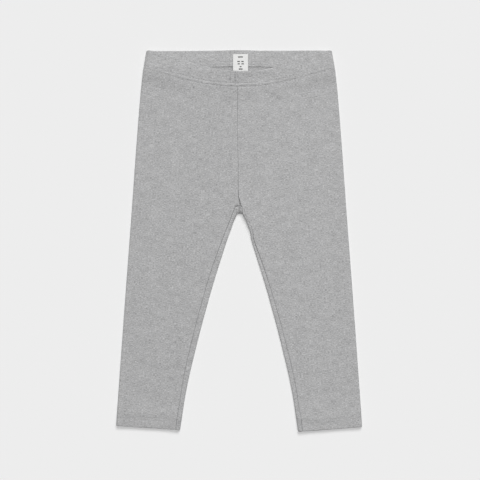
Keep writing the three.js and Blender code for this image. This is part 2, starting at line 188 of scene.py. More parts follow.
def steps(length, near, even):
    """Distances from an edge across a panel: close together near the edge, then even, as shares."""
    start = [n for n in near if n < length / 2]
    count = max(1, round((length - start[-1]) / even))
    rest = start[-1] + (length - start[-1]) * np.arange(1, count + 1) / count
    return np.concatenate([start, rest]) / length


NEAR_SEAM = [0, 0.1, 0.25, 0.45, 0.7, 1.0, 1.4, 2.0, 2.8, 3.8]  # points this far from a seam
outer_edge = through(OUTER_EDGE, "down", "out")
inner_edge = through({"root": np.sqrt(INNER_EDGE["below"]), "out": INNER_EDGE["out"]}, "root", "out")
centre_seam = through(CENTRE_FRONT, "down", "x")
hem_lift = through(HEM_LIFT, "x", "lift")
inseam_width = {side: through(INSEAM[side], "below", "wide") for side in INSEAM}
edge_shift = {side: through(EDGE_SHIFT[side], "below", "out") for side in EDGE_SHIFT}
at_crotch = {side: {name: through(table, "below", name) for name in ("roll", "widen", "skew", "pit")}
             for side, table in CROTCH.items()}
print("hip, flat:", round(2 * float(outer_edge(46.0))), "mm")

# %% [markdown]
# ## How the layers lie on each other
# A flat garment is a stack of layers. The back lies on the table, the front lies on the back, and where the
# casing or a turned hem lies between or below, the front is lifted and comes down again over a few
# centimetres. Each function here gives one of those heights, so that the pieces fit without pushing
# through each other.


# %% Heights of the layers
def fold_reach(top):
    return top * FOLD_ROUNDNESS


def on_join(x):
    return 1 - ease((np.abs(x) - JOIN_HALF_WIDTH + 1) / 2)


def band_underside(x, down):
    over_label = np.exp(-(((x - LABEL_MIDDLE) / LABEL_BULGE_HALF_WIDTH) ** 4))
    past_band = ease((down - BAND_RAMP[0]) / BAND_RAMP[1])
    past_label = ease((down - LABEL_RAMP[0]) / LABEL_RAMP[1])
    return mix(CASING + LAY, CLOTH + LAY, past_band) + LABEL_BULGE * over_label * (1 - past_label)


BAND_TOP = float(band_underside(OUTER_EDGE["out"][0], 0.0)) + CASING + FOLD_PUFF
FOOT_HALF = float(outer_edge(BAND_FOOT)) - fold_reach(BAND_TOP)
TOP_HALF = float(outer_edge(0.0)) - fold_reach(BAND_TOP)


def back_foot(x):
    """The back of the casing's lower edge, which rises a little to the middle."""
    return BAND_FOOT - BACK_FOOT_RISE * np.maximum(0, 1 - (x / FOOT_HALF) ** 2) ** 2


back_top = through(BACK_TOP, "x", "drop")


def front_foot(x):
    """The front of the casing's lower edge, which sags in the middle."""
    return BAND_FOOT + FRONT_FOOT_DIP * np.maximum(0, 1 - (x / FOOT_HALF) ** 2) ** 1.25


def front_top(x):
    """Its top edge, which sags more, so that the inside of the back shows above it."""
    x = np.asarray(x, float)
    fold = np.where(x > FRONT_TOP_LOWEST, TOP_HALF, -TOP_HALF)
    share = (x - FRONT_TOP_LOWEST) / (fold - FRONT_TOP_LOWEST)
    sag = np.maximum(0, 1 - share * share) ** 1.6
    return BACK_EDGE_DROP + (FRONT_TOP_DIP - BACK_EDGE_DROP) * sag


def puff(from_fold):
    return FOLD_PUFF * ease(1 - from_fold / PUFF_REACH)


def swell(x, down):
    total = 0
    for sx, sd, height, reach in zip(*SWELLS.values()):
        total = total + height * np.exp(-((x - sx) ** 2 + (down - sd) ** 2) / reach**2)
    return total


def upper_face(x, down, from_fold):
    seam = front_foot(x)
    lift = band_underside(x, seam) + CASING - (2 * CLOTH + LAY)
    return 2 * CLOTH + LAY + lift * ease(1 - (down - seam) / BAND_EASE) + swell(x, down) + puff(from_fold)


def lower_face(x, down, above_hem, from_fold):
    hem = 2 * CLOTH * ease(1 - (above_hem - HEM_DEPTH) / HEM_EASE)
    return 2 * CLOTH + LAY + hem + swell(x, down) + puff(from_fold)


print("the garment is", round(BAND_TOP, 1), "mm high at the waist's sides")

# %% [markdown]
# ## Creases
# Jersey that was smoothed by hand still keeps soft troughs: short ones under the casing, where the elastic
# draws it in, and around the crotch, where four seams meet. Each row of the table is one trough or, where
# its depth is negative, one ridge. They are uneven on purpose in length, depth and spacing. The last rows
# lie on the back, which the table presses flat, so those are very shallow.

# %% The table of creases
CREASES = [
    # x, down, turn in degrees, half length, half width, depth
    ("front", -104.0, 37.6, -6, 7.5, 1.5, 0.30),
    ("front", -103.0, 42.3, -9, 5.5, 1.3, 0.16),
    ("front", 95.5, 44.6, 5, 6.5, 1.3, 0.26),
    ("front", 98.0, 40.0, 10, 5.0, 1.2, 0.14),
    ("front", -8.9, 50.4, 3, 3.2, 1.1, 0.22),
    ("front", -42.0, 51.5, 14, 9.0, 2.2, 0.10),
    ("front", 38.0, 53.0, -12, 8.0, 2.4, 0.09),
    ("front", 30.0, 179.6, -3, 7.0, 1.1, 0.26),
    ("front", 19.4, 173.0, 6, 3.6, 1.0, 0.20),
    ("front", -25.5, 180.6, 5, 5.0, 1.3, 0.18),
    ("front", 31.4, 216.6, -20, 5.2, 1.4, 0.22),
    ("front", 27.0, 200.0, -58, 11.0, 3.2, 0.16),
    ("front", -24.0, 203.0, 60, 12.0, 3.6, 0.13),
    ("front", -34.0, 161.0, 36, 22.0, 6.0, 0.16),
    ("front", 36.0, 156.0, -32, 20.0, 6.5, 0.14),
    ("front", -62.0, 128.0, 24, 26.0, 8.0, 0.15),
    ("front", 66.0, 118.0, -18, 24.0, 7.5, 0.13),
    ("front", -96.0, 232.0, -12, 20.0, 6.0, 0.14),
    ("front", 92.0, 262.0, 15, 22.0, 7.0, 0.13),
    ("front", -72.0, 300.0, 18, 18.0, 6.5, 0.12),
    ("front", 104.0, 338.0, -10, 20.0, 7.0, 0.12),
    ("front", -108.0, 366.0, 8, 17.0, 6.0, 0.12),
    ("front", 84.0, 392.0, -14, 13.0, 5.0, 0.10),
    ("back", -58.0, 92.0, 12, 24.0, 5.0, 0.20),
    ("back", 44.0, 128.0, -20, 30.0, 5.5, 0.18),
    ("back", 84.0, 214.0, 24, 26.0, 4.5, 0.20),
    ("back", -88.0, 246.0, -16, 22.0, 5.0, 0.18),
    ("back", 96.0, 330.0, 10, 20.0, 4.5, 0.16),
    ("back", -100.0, 352.0, -12, 18.0, 4.0, 0.16),
]


BANK = 0.45  # cloth pushed out of a trough stands up beside it, by this share of its depth


def creases(face, x, down):
    """Heights that the creases of one face add, in millimetres. A trough is below zero."""
    total = np.zeros(np.broadcast(x, down).shape)
    for which, cx, cd, turn, length, width, depth in CREASES:
        if which != face:
            continue
        angle = np.radians(turn)
        along = (x - cx) * np.cos(angle) + (down - cd) * np.sin(angle)
        across = (down - cd) * np.cos(angle) - (x - cx) * np.sin(angle)
        across = across + 0.012 * along * along / max(1, width)
        trough = bell(across, width) - BANK * bell(np.abs(across) - 2 * width, width)
        total -= depth * trough * np.exp(-((along / length) ** 2) * 1.3)
    return total


print(len(CREASES), "creases")

# %% [markdown]
# ## Ripples
# Between the creases the cloth is uneven in a random way. Each table lists a few sizes of soft noise: broad
# and fine waves on the panels, and short ripples under the casing, where the elastic draws the jersey in.

# %% Ripples on the panels
PANEL_WAVES = [  # height, size across, size down, seed
    (0.20, 34, 21, 5),
    (0.10, 13, 8, 6),
    (0.035, 5.2, 3.4, 7),
]
GATHERS = [
    (0.144, 4.4, 1.6, 21),
    (0.096, 8.0, 2.8, 23),
    (0.07, 2.1, 5.0, 22),
]
GATHER_REACH = 13


def draw(x):
    """The casing's stitching is drawn in most in the middle of the front."""
    return 0.3 + 0.7 * bell(x, 40)


def uneven(along, size, seed):
    """Stitches pull unevenly: a factor from 0.1 to 1.3 that changes along a seam."""
    return 0.7 + 0.6 * soft_noise(along / size, 0.5, seed)


def foot_dip(x, from_seam):
    """How far both sides of the casing's lower seam dip, unevenly from stitch to stitch."""
    return 0.5 * draw(x) * bell(from_seam, 0.8) * uneven(x, 2.6, 38)


def panel_relief(x, down, from_band):
    """All the low relief of a front panel."""
    gathered = ripples(x, from_band, GATHERS) * bell(from_band, GATHER_REACH)
    return ripples(x, down, PANEL_WAVES) + creases("front", x, down) + gathered


print(len(PANEL_WAVES) + len(GATHERS), "sizes of ripple")

# %% [markdown]
# ## How far each seam stands open
# Sewn edges touch. A seam shows as a faint line because the cloth bends down into it, and it shows dark
# only where the sewing pulls it open, as beside the crotch. So each seam has its own narrow opening.

# %% Openings of the seams
BAND_GAP = 0.03
OPEN_FRONT = 0.1
CENTRE_OPEN = {"down": [0, 150, 161, 168, 172.5, 176, 178.6], "wide": [0, 0, 0.1, 0.4, 1.2, 1.8, 1.8]}
INSEAM_OPEN = {
    "left": {"below": [0, 0.6, 1.2, 3, 7, 12, 30, 90, 251.8],
             "wide": [1.1, 1.2, 0.7, 0.35, 0.25, 0.2, 0.16, 0.12, 0.1]},
    "right": {"below": [0, 0.5, 1.2, 20, 28, 40, 55, 90, 251.8],
              "wide": [0.9, 0.9, 0.25, 0.05, 0.3, 0.5, 0.4, 0.16, 0.12]},
}
EDGE_ROUND, EDGE_LIMIT = 0.42, 0.7
centre_open = through(CENTRE_OPEN, "down", "wide")
inseam_open = {side: through(INSEAM_OPEN[side], "below", "wide") for side in INSEAM_OPEN}


def centre_front(side, down):
    """The centre edge of a front panel: nearly straight, then it leans and opens at the crotch."""
    opened = float(centre_open(down)) if side > 0 else 0
    return side * float(centre_seam(down)) + OPEN_FRONT / 2 + opened


print("the crotch stands open by", CENTRE_OPEN["wide"][-1], "mm")

# %% [markdown]
# ## A wall of cloth
# Every panel is a wall: an outer face, an inner face and a rim where it ends. Both faces come from one grid
# of points, so they stay the same distance apart. Cells with a missing point are left open, which gives the
# slit of a seam or the notch at the crotch. At a cut or folded edge the two faces bend towards each other,
# because real cloth has no sharp corners, and this is what makes a seam read as a soft dark line.
# The UV map measures the cloth itself in metres, round the leg and along it, so the knit never stretches.


# %% Building a wall from a grid
def rounded(distance, radius=EDGE_ROUND, limit=EDGE_LIMIT):
    """How far, from 0 to limit, a face has bent towards the other one at a distance from the edge."""
    t = np.clip(1 - np.asarray(distance, float) / radius, 0, 1)
    return limit * (1 - np.sqrt(1 - t * t))


def pinch(outer, inner, amount):
    """Move both faces towards each other by a share of the wall's thickness."""
    middle = (outer + inner) / 2
    amount = np.asarray(amount)[..., None]
    return mix(outer, middle, amount), mix(inner, middle, amount)


def in_scene(name, data):
    thing = bpy.data.objects.new(name, data)
    bpy.context.scene.collection.objects.link(thing)
    return thing


def finish_mesh(name, points, quads, uv):
    """A closed mesh in metres, with its faces out and its own UV map."""
    points = np.asarray(points, float)
    quads = np.asarray(quads, int)
    a, b, c, d = (points[quads[:, k]] for k in range(4))
    volume = (np.cross(b, c) * a).sum() + (np.cross(c, d) * a).sum()
    if volume < 0:
        quads = quads[:, ::-1]
    mesh = bpy.data.meshes.new(name)
    mesh.from_pydata(np.round(points * MM, 8).tolist(), [], quads.tolist())
    layer = mesh.uv_layers.new(name="cloth")
    loops = np.zeros(len(mesh.loops), np.int32)
    mesh.loops.foreach_get("vertex_index", loops)
    layer.data.foreach_set("uv", (np.asarray(uv, float)[loops] * MM).ravel().astype(np.float32))
    mesh.polygons.foreach_set("use_smooth", np.ones(len(mesh.polygons), bool))
    mesh.update()
    print(f"{name}: {2 * len(quads):,} triangles")
    return in_scene(name, mesh)


def wall(name, outer, inner, uv, present):
    """A wall from grids of outer and inner points. Where present is false, there is no cloth."""
    rows, columns = present.shape
    number = np.cumsum(present.ravel()).reshape(rows, columns) - 1
    total = int(present.sum())
    cell = present[:-1, :-1] & present[1:, :-1] & present[1:, 1:] & present[:-1, 1:]
    i, j = np.nonzero(cell)
    corners = [number[i, j], number[i + 1, j], number[i + 1, j + 1], number[i, j + 1]]
    face = np.stack(corners, 1)
    quads = [face, face[:, ::-1] + total]
    border = np.pad(cell, 1)
    sides = {(0, 3): border[i, j + 1], (1, 0): border[i + 1, j], (2, 1): border[i + 2, j + 1],
             (3, 2): border[i + 1, j + 2]}
    for (first, second), beside in sides.items():
        a, b = corners[first][~beside], corners[second][~beside]
        quads.append(np.stack([a, b, b + total, a + total], 1))
    points = np.concatenate([outer[present], inner[present]])
    return finish_mesh(name, points, np.concatenate(quads), np.concatenate([uv[present]] * 2))


def arc_lengths(points, start):
    """Distance along each row of points, from the column named start."""
    along = np.cumsum(np.linalg.norm(np.diff(points[..., [0, 2]], axis=-2), axis=-1), axis=-1)
    along = np.concatenate([np.zeros(along.shape[:-1] + (1,)), along], axis=-1)
    return along - along[..., start : start + 1]


print("a wall's edge bends in over its last half millimetre")

# %% [markdown]
# ## The legs
# Each leg of these leggings is one cut piece with no side seam. It starts at the centre-front seam, folds
# round the outer side and comes back underneath to the centre-back seam. Below the crotch its two edges
# meet in the inseam, which lies a few millimetres in from the inner fold. So a leg is a stack of sections,
# each one walking round the cloth. Near seams the sections' points lie close together, so that the edges
# can be round there, and they are further apart where the cloth is plain.

# %% How finely the legs are cut into sections
FRONT = steps(110, NEAR_SEAM, 1.4)
BACK = 1 - steps(110, NEAR_SEAM, 3.4)[::-1]
FOLD_POINTS = 13
STRIP = steps(6, [0, 0.15, 0.4], 0.55)
fold_angles = np.pi * np.arange(1, FOLD_POINTS + 1) / (FOLD_POINTS + 1)
upper_rises = 1 - steps(160, NEAR_SEAM, 1.6)[:-1]
above_hems = np.array([0, 0.1, 0.25, 0.45, 0.7, 1.0, 1.4, 2.0, 2.8, 3.7, 4.6, 5.5, 6.4, 7.3, 8.2, 9.0, 9.6,
                       10.2, 10.8, 11.4, 11.8, 12.2, 12.6, 13.0, 13.8])
HEM_ZONE = 15  # this far up, the hem has the sections above
PLAIN_SECTIONS, CROWDING = 134, 1.45  # the others lie closer together towards the crotch
plain_shares = (np.arange(PLAIN_SECTIONS) / (PLAIN_SECTIONS - 1)) ** CROWDING
plain_belows = LEAN_START + (LEG_BELOW - HEM_ZONE - LEAN_START) * plain_shares
lower_belows = np.concatenate([[0], plain_belows, LEG_BELOW - above_hems[::-1]])
print(len(upper_rises) + len(lower_belows), "sections of", len(FRONT) + len(BACK), "points and the folds")


# %% Sections of a leg
def lifted(x, down):
    """Where a point of the cut lies once the hems are pushed up a little towards the waist."""
    widest = OUTER_EDGE["out"][-1]
    eased = ease((down - HEM_OUTER + HEM_LIFT_REACH) / HEM_LIFT_REACH)
    return down - hem_lift(np.clip(x, -widest, widest)) * eased


def place(side, out, down, z):
    out, down, z = np.broadcast_arrays(np.asarray(out, float), down, z)
    return np.stack([side * out, LENGTH / 2 - lifted(side * out, down), z], -1)


def fold(side, out, down, away, top, thick, wider=0.0, skew=0.0):
    """A fold from the upper face at height top to the lower face at 0: half round, or sloping if skewed."""
    def at(across, low, high):
        bulge = across * np.sin(fold_angles)
        share = ((1 + np.cos(fold_angles)) / 2) ** (1 + skew)
        return place(side, out + away[0] * bulge, down + away[1] * bulge, mix(low, high, share))

    reach = fold_reach(top) * (1 + wider)
    return at(reach, 0, top), at(reach - thick, thick, top - thick)


DEEPEST, HIGHEST = -0.25, 0.3  # how far an inside may sink towards the air, and the back rise off the table
FAR = 99.0  # further from the casing than any of its ripples reach


def front_points(side, out, down, top, relief, thick):
    """The front layer: its outer face takes all the relief, its inner face no more than the air below."""
    outer = place(side, out, down, top + relief)
    inner = place(side, out, down, top - thick + np.maximum(relief, DEEPEST))
    return outer, inner


def back_points(side, out, down, thick, from_band=FAR):
    """The back layer: flat on the table but for shallow creases, and thicker by the casing's foot."""
    lift = np.clip(-creases("back", side * out, down), 0, HIGHEST)
    return place(side, out, down, lift), place(side, out, down, thick + 0.6 * bell(from_band, 1.7))


def upper_section(side, rise):
    fold_down = mix(CROTCH_OUTER, BAND_FOOT + BAND_GAP, rise)
    fold_x = side * outer_edge(fold_down)
    fold_top = upper_face(fold_x, fold_down, 0)
    fold_out = outer_edge(fold_down) - fold_reach(fold_top)
    centre = centre_front(side, mix(CROTCH_FRONT, front_foot(0.0), rise))
    out = mix(centre, fold_out, FRONT)
    down = mix(mix(CROTCH_FRONT, CROTCH_OUTER, FRONT), front_foot(out) + BAND_GAP, rise)
    from_band = down - front_foot(out) - BAND_GAP
    fade = ease((fold_out - out) / 9)
    relief = panel_relief(side * out, down, from_band) * fade * ease((out - centre) / 2.5)
    dip = 0.07 + CROTCH_DIP * bell(CROTCH_FRONT - down, CENTRE_DIP_REACH)
    relief = relief - seam_dip(out - centre, dip) + seam_allowance(side, side * out, down)
    relief = relief - foot_dip(side * out, from_band) * fade
    front = front_points(side, out, down, upper_face(side * out, down, fold_out - out), relief, CLOTH)
    edge = np.maximum(rounded(out - centre), rounded(from_band, 0.3, 0.3 * draw(out)))
    front = pinch(*front, edge)
    side_fold = fold(side, fold_out, fold_down, (1, 0), fold_top, CLOTH)
    side_fold = pinch(*side_fold, np.full(FOLD_POINTS, edge[-1]))
    back_out = mix(fold_out, CENTRE_BACK_GAP / 2, BACK)
    back_seam = back_foot(back_out) + BAND_GAP
    back_down = mix(mix(CROTCH_OUTER, CROTCH_BACK, BACK), back_seam, rise)
    back = back_points(side, back_out, back_down, CLOTH, back_down - back_seam)
    near = np.minimum(back_out - CENTRE_BACK_GAP / 2, back_down - back_seam)
    back = pinch(*back, rounded(near, 0.5))
    return [np.concatenate(parts) for parts in zip(front, side_fold, back)]


def seam_dip(distance, depth):
    """A seam is drawn in a little, so the cloth beside it dips towards it."""
    return depth * bell(distance, 1.8)


def seam_allowance(side, x, down):
    """The centre-front seam's allowance is pressed to the right and shows as a low flat ridge."""
    if side < 0:
        return 0
    ridge = ease((x - 0.3) / 1.2) * (1 - ease((x - 6.2) / 1.6))
    return 0.22 * ridge * (1 - ease((down - 168) / 10))


print("sections above the crotch are ready")

# %% [markdown]
# Below the crotch a section closes on itself at the inseam: front, outer fold, back, inner fold, and a
# narrow strip that runs from the inner fold to the seam. In the first centimetres the inner fold turns from
# level to nearly upright, so the strip turns with it, and fold and strip stay in one plane. The hem is the
# same wall, twice as thick where it is turned up, and pressed down along its two rows of stitching.

# %% Places on the inner fold and the hem
HEM_ROWS = (9.0, 11.6)  # rows of stitching, above the hem's fold


def hem_grooves(above_hem):
    """Two rows of stitching press shallow grooves into the hem."""
    return sum(0.22 * bell(above_hem - row, 0.8) for row in HEM_ROWS)


def inner_fold_at(word, below):
    root, nudge = np.sqrt(below), 0.01
    turn = (inner_edge(root + nudge) - inner_edge(root)) / nudge
    size = np.hypot(turn, 2 * root)
    out = CENTRE_BACK_GAP / 2 + inner_edge(root) + float(edge_shift[word](below))
    return out, CROTCH_BACK + below, (-2 * root / size, turn / size)


def strip_angle(word, below, away):
    """Which way the strip between the inner fold and the inseam runs, from straight up, in radians."""
    turned = np.arctan2(-away[0], away[1]) * min(1, below / INSEAM[word]["turn"])
    leans = float(ease(below / LEAN_START) * (1 - ease(below / LEAN_LENGTH)))
    return turned + np.radians(LEAN[word]) * leans


print("the inseam stands", INSEAM["left"]["wide"][-1], "mm in from the fold at the hem")

# %% Sections below the crotch
SLANT = 0.97  # the inseam slants, so it is a little nearer than the distance across says
NARROWEST = 0.9  # of the strip between fold and inseam


def lower_section(side, below):
    word = "left" if side < 0 else "right"
    share, above_hem = below / LEG_BELOW, LEG_BELOW - below
    thick = CLOTH * (2 - ease((above_hem - HEM_DEPTH) / HEM_STEP))
    round_hem = float(rounded(above_hem, 1.1, 0.9))
    fold_down = mix(CROTCH_OUTER, HEM_OUTER, share)
    fold_top = lower_face(side * outer_edge(fold_down), fold_down, above_hem, 0)
    fold_out = outer_edge(fold_down) - fold_reach(fold_top)

    inner_out, inner_down, away = inner_fold_at(word, below)
    inner_x = side * inner_out
    inner_top = lower_face(inner_x, inner_down, above_hem, 0) - swell(inner_x, inner_down)
    roll, widen, skew, pit = (float(curve(below)) for curve in at_crotch[word].values())
    angle = strip_angle(word, below, away)
    away = (-np.sin(angle), np.cos(angle))
    wide = float(inseam_width[word](below)) + fold_reach(inner_top)
    inner_top = inner_top + roll
    drawn = float(ease(below / FLAT_INSEAM[word])) if below > LEAN_START else 1
    reach = fold_reach(inner_top) * (1 + widen)
    inner_out, inner_down = inner_out - away[0] * reach, inner_down - away[1] * reach
    wide = max(NARROWEST, wide - reach)
    edge_out, edge_down = inner_out + np.sin(angle) * wide, inner_down - np.cos(angle) * wide
    if below == 0:
        edge_out, edge_down = centre_front(side, CROTCH_FRONT), CROTCH_FRONT

    out, down = mix(edge_out, fold_out, FRONT), mix(edge_down, fold_down, FRONT)
    from_fold = np.minimum(fold_out - out, out - edge_out + wide)
    from_edge = (out - edge_out) * (1 if below == 0 else SLANT)
    relief = panel_relief(side * out, down, np.full(len(out), FAR)) * ease((fold_out - out) / 9)
    relief = relief * ease(from_edge / 2.5) * (1 - 0.5 * ease(1 - above_hem / 14))
    dip = 0.14 * drawn + CROTCH_DIP * bell(below, INSEAM_DIP_REACH[word])
    relief = relief - seam_dip(from_edge, dip)
    relief = relief - hem_grooves(above_hem) + seam_allowance(side, side * out, down)
    front_top_face = lower_face(side * out, down, above_hem, from_fold)
    front = front_points(side, out, down, front_top_face, relief, thick)
    front = pinch(*front, np.maximum(rounded(from_edge) * drawn, round_hem))
    side_fold = fold(side, fold_out, fold_down, (1, 0), fold_top, thick)
    side_fold = pinch(*side_fold, np.full(FOLD_POINTS, round_hem))
    back = back_points(side, mix(fold_out, inner_out, BACK), mix(fold_down, inner_down, BACK), thick)
    back = pinch(*back, np.full(len(BACK), round_hem))
    inner_fold = fold(side, inner_out, inner_down, away, inner_top, thick, widen, skew)
    inner_fold = [p[::-1] for p in inner_fold]
    inner_fold = pinch(*inner_fold, np.full(FOLD_POINTS, round_hem))

    gap = float(inseam_open[word](below))
    across = (wide - gap) * STRIP
    strip_out, strip_down = inner_out + np.sin(angle) * across, inner_down - np.cos(angle) * across
    panel = lower_face(side * edge_out, edge_down, above_hem, wide)
    strip_top = mix(inner_top, panel - pit, ease(STRIP))
    strip_relief = -seam_dip(wide - gap - across, 0.1 * drawn) - hem_grooves(above_hem) * ease(across / 2)
    strip = front_points(side, strip_out, strip_down, strip_top, strip_relief, thick)
    strip = pinch(*strip, np.maximum(rounded(wide - gap - across) * drawn, round_hem))
    return [np.concatenate(parts) for parts in zip(front, side_fold, back, inner_fold, strip)]


print("sections below the crotch are ready")


# %% Making both legs
LEG_MAP, BAND_MAP = 400, 900  # where each piece starts on the shared UV map, so that no two look alike


def leg(name, side):
    upper = [upper_section(side, rise) for rise in upper_rises]
    lower = [lower_section(side, below) for below in lower_belows]
    width = len(lower[0][0])
    grids, present = [], np.ones((len(upper) + len(lower), width), bool)
    for k in (0, 1):
        rows = [np.pad(section[k], ((0, width - len(section[k])), (0, 0))) for section in upper]
        grids.append(np.array(rows + [section[k] for section in lower]))
    present[: len(upper), len(upper[0][0]):] = False
    side_column = len(FRONT) + FOLD_POINTS // 2
    u = side * (arc_lengths(grids[0], side_column) + LEG_MAP)
    uv = np.stack([u, grids[0][..., 1]], -1)
    return wall(name, *grids, uv, present)


leg_left = leg("Leg_left", -1)
leg_right = leg("Leg_right", 1)

# %% [markdown]
# ## The waistband
# The casing is jersey turned over a flat elastic and sewn down, one ring all round the waist. Laid flat,
# its back lies on the table with its inside up, and its front sags below it. The ring is swept from one
# section that has an outside, a rolled top edge and an inside. The elastic draws the jersey together, so
# the casing is full of tiny, uneven puckers, which is also why it looks a shade darker than the legs.

# %% The casing's section
ROLL_ANGLES = np.radians(np.linspace(-78, 78, 9))
FOOT_ROUND = 0.5, 0.3  # radius and share of the rounding at the casing's foot
UP_STEPS = steps(20, [0, 0.12, 0.3, 0.55, 0.9], 0.75)
CASING_STITCH = 3.7  # upper row of stitching, above the casing's lower edge
JOIN_SEAM, JOIN_ALLOWANCE = -4.6, 6.1  # the casing's own seam on the front, and its allowance to the left


PUCKERS = [  # height, size across, size up, seed: the first two run across the elastic, the others along it
    (0.0935, 2.3, 7.0, 0),
    (0.0765, 4.6, 9.0, 1),
    (0.192, 3.4, 1.3, 2),
    (0.128, 6.5, 2.3, 3),
]
LOOPER_ROWS = (2.2, 5.7)  # rows of stitching on the inside, above the casing's lower edge
THICK_PLACES = (-2.0, JOIN_HALF_WIDTH - 0.2)  # short lines where the elastic's join ends, inside the back


def calm_at_edges(up, height):
    """The puckers fade towards the casing's lower seam and its rolled top."""
    return ease(up / 1.5) * ease((height - up) / 3)


def front_relief(x, up, height):
    """Relief of the outside of the front, with the groove of the upper stitching and the casing's seam."""
    row, seam = up - CASING_STITCH, x - JOIN_SEAM
    stitched = 0.85 * bell(row, 0.6) * uneven(x, 2.3, 36) - 0.30 * bell(row + 1.5, 0.7)
    sewn = 1.15 * bell(seam, 0.52) * (0.8 + 0.35 * soft_noise(up / 2.6, 0.5, 37))
    edge = 0.85 * bell(seam + JOIN_ALLOWANCE, 0.5) * ease((up - 2) / 3)
    turned = 0.65 * bell(seam - 2.6, 0.45) * ease((up - 7) / 3)
    pressed = ease((seam + JOIN_ALLOWANCE) / 0.8) * (1 - ease((seam + 0.8) / 0.6))
    raised = (ripples(x, up, PUCKERS, 31) + 0.22 * pressed) * calm_at_edges(up, height)
    lines = (sewn + edge + turned) * ease(up / 1.2) * ease((height - up) / 2)
    return raised - stitched * draw(x) - lines - foot_dip(x, up)


def inside_relief(x, up, height):
    """Relief of the inside of the back: two rows of stitching and the lines of the elastic's join."""
    rows = sum(0.20 * bell(up - row, 0.6) for row in LOOPER_ROWS)
    join = 1.05 * bell(x + JOIN_HALF_WIDTH - 0.4, 0.5) * ease((up - 8) / 6)
    join = join + sum(0.8 * bell(x - at, 0.6) for at in THICK_PLACES) * ease((up - height + 3.4) / 1.2)
    raised = 0.75 * ripples(x, up, PUCKERS, 41) * calm_at_edges(up, height)
    return raised - rows * ease(up / 1.2) - join * ease((height - up) / 1.5)


def casing_section(height):
    """How far up each point lies, which way it faces (1 out, -1 in), and how round its edge is."""
    roll = CASING / 2 / height
    plain = UP_STEPS * (1 - roll)
    rolled = [1 - roll + roll * np.cos(ROLL_ANGLES), -np.sin(ROLL_ANGLES)]
    up = np.concatenate([plain, rolled[0], plain[::-1]])
    face = np.concatenate([np.ones(len(plain)), rolled[1], -np.ones(len(plain))])
    return up, face, rounded(up * height, *FOOT_ROUND)


print("the casing's section has", 2 * len(UP_STEPS) + len(ROLL_ANGLES), "points")


# %% Its front, its back and its two side folds
def fade_to_fold(share):
    return ease((1 - abs(share)) * FOOT_HALF / 7)


def band_across(share, front):
    foot_x, top_x = share * FOOT_HALF, share * TOP_HALF
    foot = front_foot(foot_x) if front else back_foot(foot_x)
    top = front_top(top_x) if front else back_top(top_x)
    up, face, bend = casing_section(foot - top)
    x, down, high = mix(foot_x, top_x, up), mix(foot, top, up), up * (foot - top)
    face = face * (1 - bend * draw(x))
    fade = fade_to_fold(share)
    if front:
        z = band_underside(x, down) + puff(mix(FOOT_HALF, TOP_HALF, up) - np.abs(x)) + CASING * (1 + face) / 2
        z = z + front_relief(x, high, foot - top) * fade * np.clip(face * 2, 0, 1)
    else:
        z = (CASING + JOIN_RISE * on_join(x)) * (1 - face) / 2
        z = z + inside_relief(x, high, foot - top) * fade * np.clip(-face * 2, 0, 1)
    return place(1, x, down, z)


def band_fold(side, turn):
    angle = turn * np.pi
    up, face, bend = casing_section(BAND_FOOT - BACK_EDGE_DROP)
    face = face * (1 - bend * draw(FOOT_HALF))
    down, inset = mix(BAND_FOOT, BACK_EDGE_DROP, up), CASING * (1 - face) / 2
    out = mix(FOOT_HALF, TOP_HALF, up) + (fold_reach(BAND_TOP) - inset) * np.sin(angle)
    under = band_underside(side * OUTER_EDGE["out"][0], down) + CASING + FOLD_PUFF
    middle = mix(under - BAND_TOP / 2, BAND_TOP / 2, turn)
    return place(side, out, down, middle + (BAND_TOP / 2 - inset) * np.cos(angle))


# %% Sweeping it round the waist
FINE_STEP, EVEN_SECTIONS = 0.22, 221  # finer where the casing's own seam and the elastic's join cross it


def casing():
    fine = np.arange(JOIN_SEAM - JOIN_ALLOWANCE - 1.6, JOIN_SEAM + 4.2, FINE_STEP) / FOOT_HALF
    even = np.linspace(-1, 1, EVEN_SECTIONS)
    shares = np.sort(np.concatenate([fine, even[(even < fine[0]) | (even > fine[-1])]]))
    turns = np.arange(1, FOLD_POINTS + 1) / (FOLD_POINTS + 1)
    sections = [band_across(s, True) for s in shares]
    sections += [band_fold(1, t) for t in turns]
    sections += [band_across(s, False) for s in shares[::-1]]
    sections += [band_fold(-1, 1 - t) for t in turns]
    ring = np.array(sections)
    rows, around = ring.shape[:2]
    middle = ring[:, 0]
    u = np.concatenate([[0], np.cumsum(np.linalg.norm(np.diff(middle[:, [0, 2]], axis=0), axis=1))])
    i, j = (a.ravel() for a in np.meshgrid(np.arange(rows), np.arange(around), indexing="ij"))
    ring_next, point_next = (i + 1) % rows, (j + 1) % around
    corners = ((i, j), (ring_next, j), (ring_next, point_next), (i, point_next))
    quads = np.stack([row * around + column for row, column in corners], 1)
    uv = np.stack([np.repeat(u, around) + BAND_MAP, ring[..., 1].ravel()], -1)
    return finish_mesh("Waistband", ring.reshape(-1, 3), quads, uv)


waistband = casing()

# %% [markdown]
# ## The label
# A short white ribbon is caught in the casing's stitching and hangs inside the back. A ribbon is stiffer
# than jersey, so it lies almost flat and only follows the casing down at its end. It is a thin wall again,
# a little wavy, its sides curled up, with its cut edges rounded.


# %% The ribbon
NEAR_CUT = np.array([0, 0.008, 0.02, 0.04])  # shares of the width beside a cut edge


